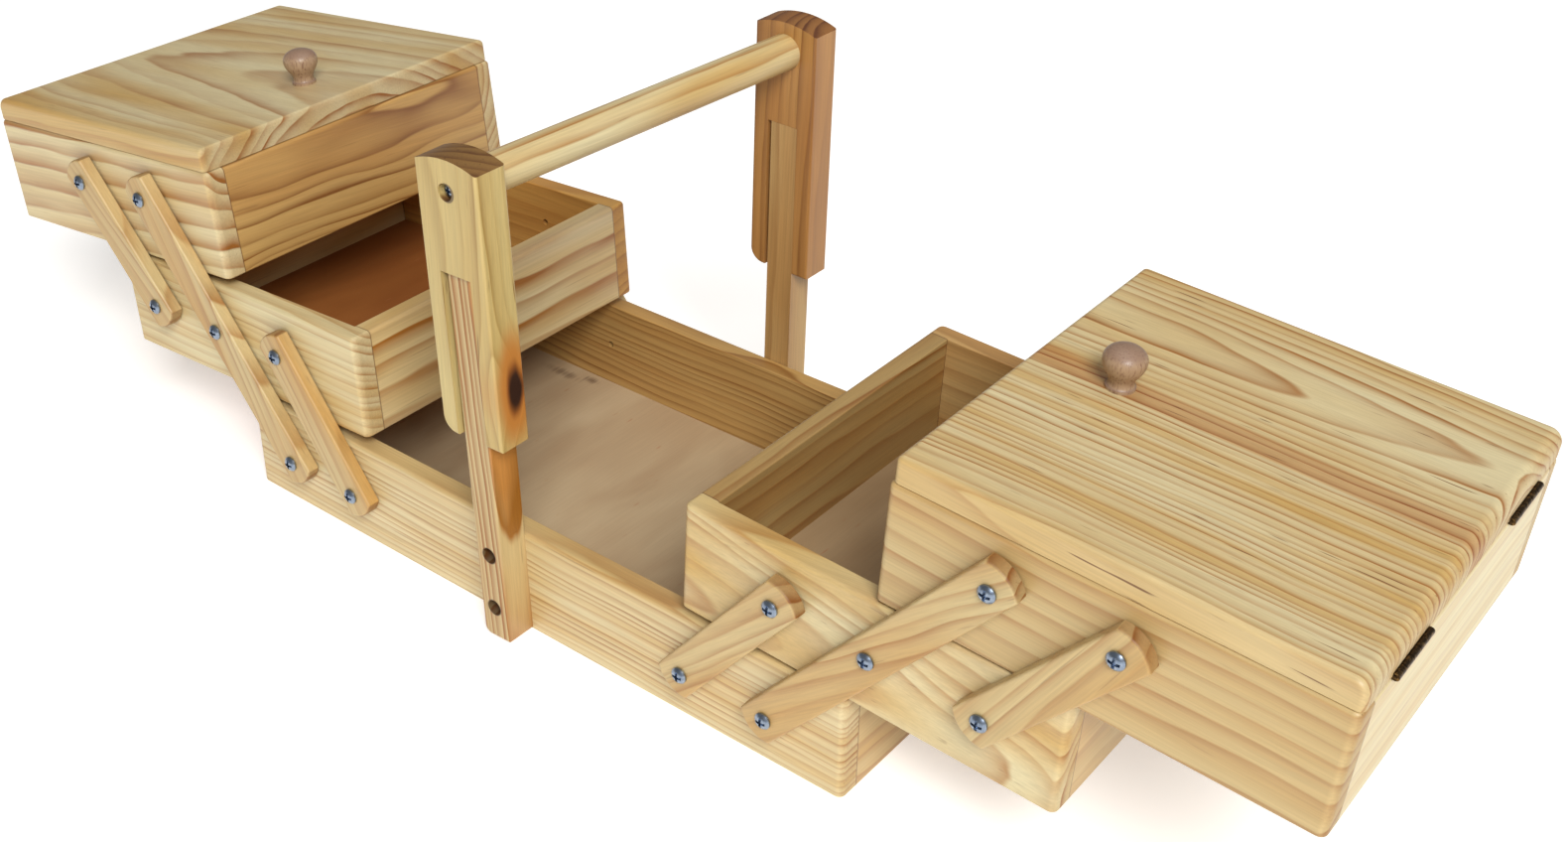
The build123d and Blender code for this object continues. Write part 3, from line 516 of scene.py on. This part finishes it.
TONE = {
    "pale": dict(Earlywood=linear("D6C89C"), Latewood=linear("A26C28"), Honeyed=linear("C5A05A")),
    "straw": dict(Earlywood=linear("D6C69A"), Latewood=linear("9C601C"), Honeyed=linear("C2994E")),
    "butter": dict(Earlywood=linear("C6B176"), Latewood=linear("94702F"), Honeyed=linear("B8944E")),
    "wheat": dict(Earlywood=linear("C6B07E"), Latewood=linear("98601E"), Honeyed=linear("BA8A42")),
    "honey": dict(Earlywood=linear("C4A26A"), Latewood=linear("875524"), Honeyed=linear("B37E40")),
    "orange": dict(Earlywood=linear("BB8A4C"), Latewood=linear("7C4A1C"), Honeyed=linear("A96E30")),
    "apricot": dict(Earlywood=linear("CE9F54"), Latewood=linear("935A22"), Honeyed=linear("BE8640")),
    "amber": dict(Earlywood=linear("C09A5C"), Latewood=linear("7E4C1A"), Honeyed=linear("AE7A3A")),
}


def figure(tone, pith, lean, ring, waver, contrast, honey, resin=0.3, **more):
    """A board's figure by name: tone, pith place, lean, ring width and how strong each feature is.

    More holds the pine's other inputs, with a low line for a space, and what pine_board takes.
    """
    others = {name.replace("_", " "): value for name, value in more.items()}
    return dict(TONE[tone], pith=pith, lean=lean, Ring=ring, Waver=waver, Contrast=contrast,
                Honey=honey, Resin=resin, **others)


# The pith lies at a place along the board's own y and z axes, in millimetres from its middle, and
# leans in degrees: near and leaning gives arches, far gives straight lines. A knot is its place
# and its half sizes. x runs along the grain, and z is up on a level board.
FIGURE = {
    "right_lid": figure("straw", (52, -22), (0.6, 2.6), 3.8, 2.2, 1.2, 0.45, 0.9, Sharp=3.4, Bands=0.4,
                        strip=(3.5, 6.5, "DDB183")),
    "left_lid": figure("straw", (-2, -98.7), (0.4, -3.0), 6.4, 2.0, 0.72, 0.5, 0.3, Sharp=2.4,
                       Bands=0.4, End_tone=0.35),
    "right_top_front_board": figure("wheat", (26, -75), (0, 1), 8.0, 3.4, 0.75, 0.3, Bands=0.35),
    "right_top_end_boards": figure("pale", (10, -90), (0, 0.5), 4.5, 2.0, 0.45, 0.2),
    "right_tray_front_board": figure("pale", (22, -20), (8, 2), 6.5, 5.0, 0.75, 0.8, Sharp=2.0, Bands=0.5),
    # Darker: painted shade on the inner end board, whose inside lies in the tray's shade
    "right_tray_end_boards": figure("wheat", (30, -50), (0, 2), 6.5, 3.0, 0.8, 0.4, darker="DBCBB4"),
    # The rear board's honey tone is partly its own colour and partly painted shade inside the tray
    "right_tray_rear_board": figure("honey", (30, -50), (0, 1), 6.5, 3.0, 0.5, 0.6),
    "left_top_front_board": figure("straw", (34, 62), (0, -2.5), 9.0, 4.5, 1.0, 0.45, Sharp=1.7,
                                   relief=0.6),
    "left_top_end_boards": figure("amber", (-22, 44), (1, 4), 6.0, 6.0, 1.2, 0.4, Sharp=3.0,
                                  knot=((-70, 0, -22), (26, 30, 12)), Knot_lift=9.0),
    "left_tray_front_board": figure("pale", (30, 80), (0, 1.5), 4.5, 2.5, 0.6, 0.6),
    "left_tray_end_boards": figure("straw", (10, -95), (0, 1), 10.5, 4.0, 1.1, 0.7, Sharp=1.7, Bands=0.1),
    "left_tray_rear_board": figure("apricot", (10, -60), (0, 1), 7.0, 3.0, 0.5, 0.6),
    "base_front_board": figure("straw", (12, -130), (0, 0.4), 4.0, 2.0, 1.0, 0.35, Sharp=2.8,
                               relief=0.35),
    "base_rear_board": figure("amber", (-20, -120), (0, 0.6), 4.2, 3.0, 1.15, 0.4, Sharp=2.8),
    "base_end_boards": figure("wheat", (8, -110), (0, 0.5), 4.4, 2.5, 0.9, 0.4),
    "front_post": figure("wheat", (0, -44.5), (0, -1.8), 3.0, 0.8, 1.35, 0.15, Sharp=1.3, Bands=0.1,
                         Heart=38.6),
    "rear_post": figure("honey", (25, 30), (0, 1), 6.0, 3.0, 0.6, 0.5),
    "front_cheek": figure("butter", (40, 26), (1, 2.5), 5.0, 3.0, 0.75, 0.3, 0.8, Sharp=3.0,
                          knot=((-41, 4.5, -18.5), (27, 16, 16)), Knot_lift=8.0, Knot_dark=1.0,
                          End_tone=1.0),
    "rear_cheek": figure("orange", (8, -38), (0.5, 1), 6.0, 2.4, 0.8, 0.6, End_tone=0.7),
    "handle_bar": figure("pale", (30, 22), (0.5, 1), 5.0, 2.5, 0.95, 0.9, 0.6, Bands=0.6),
}
PLAIN = figure("straw", (-60, 40), (0.5, 1), 4.5, 2.5, 0.7, 0.35)
ARM_FIGURES = (
    figure("wheat", (9, -34), (2, 11), 7.0, 4.0, 0.7, 0.5, End_tone=0.6),
    figure("wheat", (7, 30), (2, 8), 6.0, 3.0, 0.7, 0.6, End_tone=0.6),
    figure("wheat", (10, -30), (1, -9), 6.5, 4.0, 0.65, 0.4, End_tone=0.6),
)


def handle_bores(row, heights, offset):
    """Places on the axes of a leaning side's screw holes, which run from front to back."""
    lean = math.radians(LEAN[row])
    return [((HANDLE_MIDDLE + offset * math.cos(lean) - up * math.sin(lean)) * MM, 0,
             (offset * math.sin(lean) + up * math.cos(lean)) * MM) for up in heights]


def board_look(name, number):
    """Everything that sets one board apart, for pine_board."""
    look = dict(ARM_FIGURES[number % len(ARM_FIGURES)] if name.endswith("_arm") else FIGURE.get(name, PLAIN))
    if name.endswith("end_boards"):
        low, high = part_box(name)
        look["seam"] = (high.y - low.y) / 2 / MM
    if name.endswith("_post"):
        look["bores"] = handle_bores(name.removesuffix("_post"), POST_SCREWS, POST_MIDDLE)
    if name.endswith("_cheek"):
        look["bores"] = handle_bores(name.removesuffix("_cheek"), [BAR_SCREW], 0)
    return look


def dress_all():
    """Gives every solid its finish. Of the words below, the first that a name holds decides."""
    for number, (name, turn) in enumerate(sorted(pieces_of_wood().items())):
        board = pine_board("lacquered pine " + name.replace("_", " "), middle(name), turn,
                           start=number * LOG_STEP, **board_look(name, number))
        dress(name, board)
    finishes = {"hinge": finish_material("bronzed steel", bronzed_steel),
                "screw": finish_material("zinc-plated steel", zinc_plated_steel),
                "knob": finish_material("turned beech", turned_beech),
                "base_floor": finish_material("rotary-cut birch plywood", marked_plywood),
                "left_tray_floor": finish_material("birch plywood in painted deep shade", deep_shade_plywood),
                "floor": finish_material("birch plywood in painted shade", shaded_plywood)}
    for name in frame["nodes"]:
        for word, material in finishes.items():
            if word in name:
                dress(name, material)
                break


# Studio

def paper(tree, at):
    """Matt white paper, a trace warm."""
    return add(tree, "BsdfPrincipled", {"Base Color": linear("F4F2EE"), "Roughness": 0.9,
                                        "Emission Color": linear("FFFFFF"), "Emission Strength": 0.42})


def studio_floor():
    """A level pale sheet under the object."""
    mesh = bpy.data.meshes.new("studio floor")
    corners = [(x * FLOOR_HALF, y * FLOOR_HALF, 0) for x, y in ((-1, -1), (1, -1), (1, 1), (-1, 1))]
    mesh.from_pydata(corners, [], [(0, 1, 2, 3)])
    floor = bpy.data.objects.new("studio_floor", mesh)
    bpy.context.scene.collection.objects.link(floor)
    mesh.materials.append(finish_material("white paper", paper))


def softbox(name, place, target, size, power):
    """A square area light that faces a target."""
    lamp = bpy.data.lights.new(name, "AREA")
    lamp.size = size
    lamp.energy = power
    holder = bpy.data.objects.new(name, lamp)
    holder.location = place
    holder.rotation_mode = "QUATERNION"
    holder.rotation_quaternion = (Vector(target) - Vector(place)).to_track_quat("-Z", "Y")
    bpy.context.scene.collection.objects.link(holder)


def light_studio():
    """Soft daylight from the right front, a faint ceiling light, and a pale room round them."""
    world = bpy.data.worlds.new("studio")
    bpy.context.scene.world = world
    world.use_nodes = True
    background = world.node_tree.nodes["Background"]
    background.inputs["Color"].default_value = SKY_COLOUR
    background.inputs["Strength"].default_value = SKY_STRENGTH
    softbox("window", *WINDOW)
    softbox("ceiling", *CEILING)


def place_camera():
    """The camera's axes come from its yaw, pitch and roll; the shift frames the off-centre view."""
    yaw, pitch, roll = (math.radians(a) for a in (CAMERA_YAW, CAMERA_PITCH, CAMERA_ROLL))
    forward = Vector((-math.sin(yaw) * math.cos(pitch), math.cos(yaw) * math.cos(pitch), math.sin(pitch)))
    right = forward.cross(Vector((0, 0, 1))).normalized()
    up = right.cross(forward)
    right, up = (right * math.cos(roll) + up * math.sin(roll), up * math.cos(roll) - right * math.sin(roll))
    lens = bpy.data.cameras.new("camera")
    width, height = IMAGE_SIZE
    lens.sensor_width = SENSOR_WIDTH
    lens.lens = FOCAL_PIXELS / width * lens.sensor_width
    lens.shift_x = (width / 2 - IMAGE_CENTRE[0]) / width
    lens.shift_y = (IMAGE_CENTRE[1] - height / 2) / width
    lens.clip_start = 0.01
    holder = bpy.data.objects.new("camera", lens)
    turn = Matrix((right, up, -forward)).transposed().to_4x4()
    holder.matrix_world = Matrix.Translation(CAMERA_PLACE) @ turn
    bpy.context.scene.collection.objects.link(holder)
    bpy.context.scene.camera = holder


dress_all()
studio_floor()
light_studio()
place_camera()
bpy.context.scene.view_settings.view_transform = "Standard"
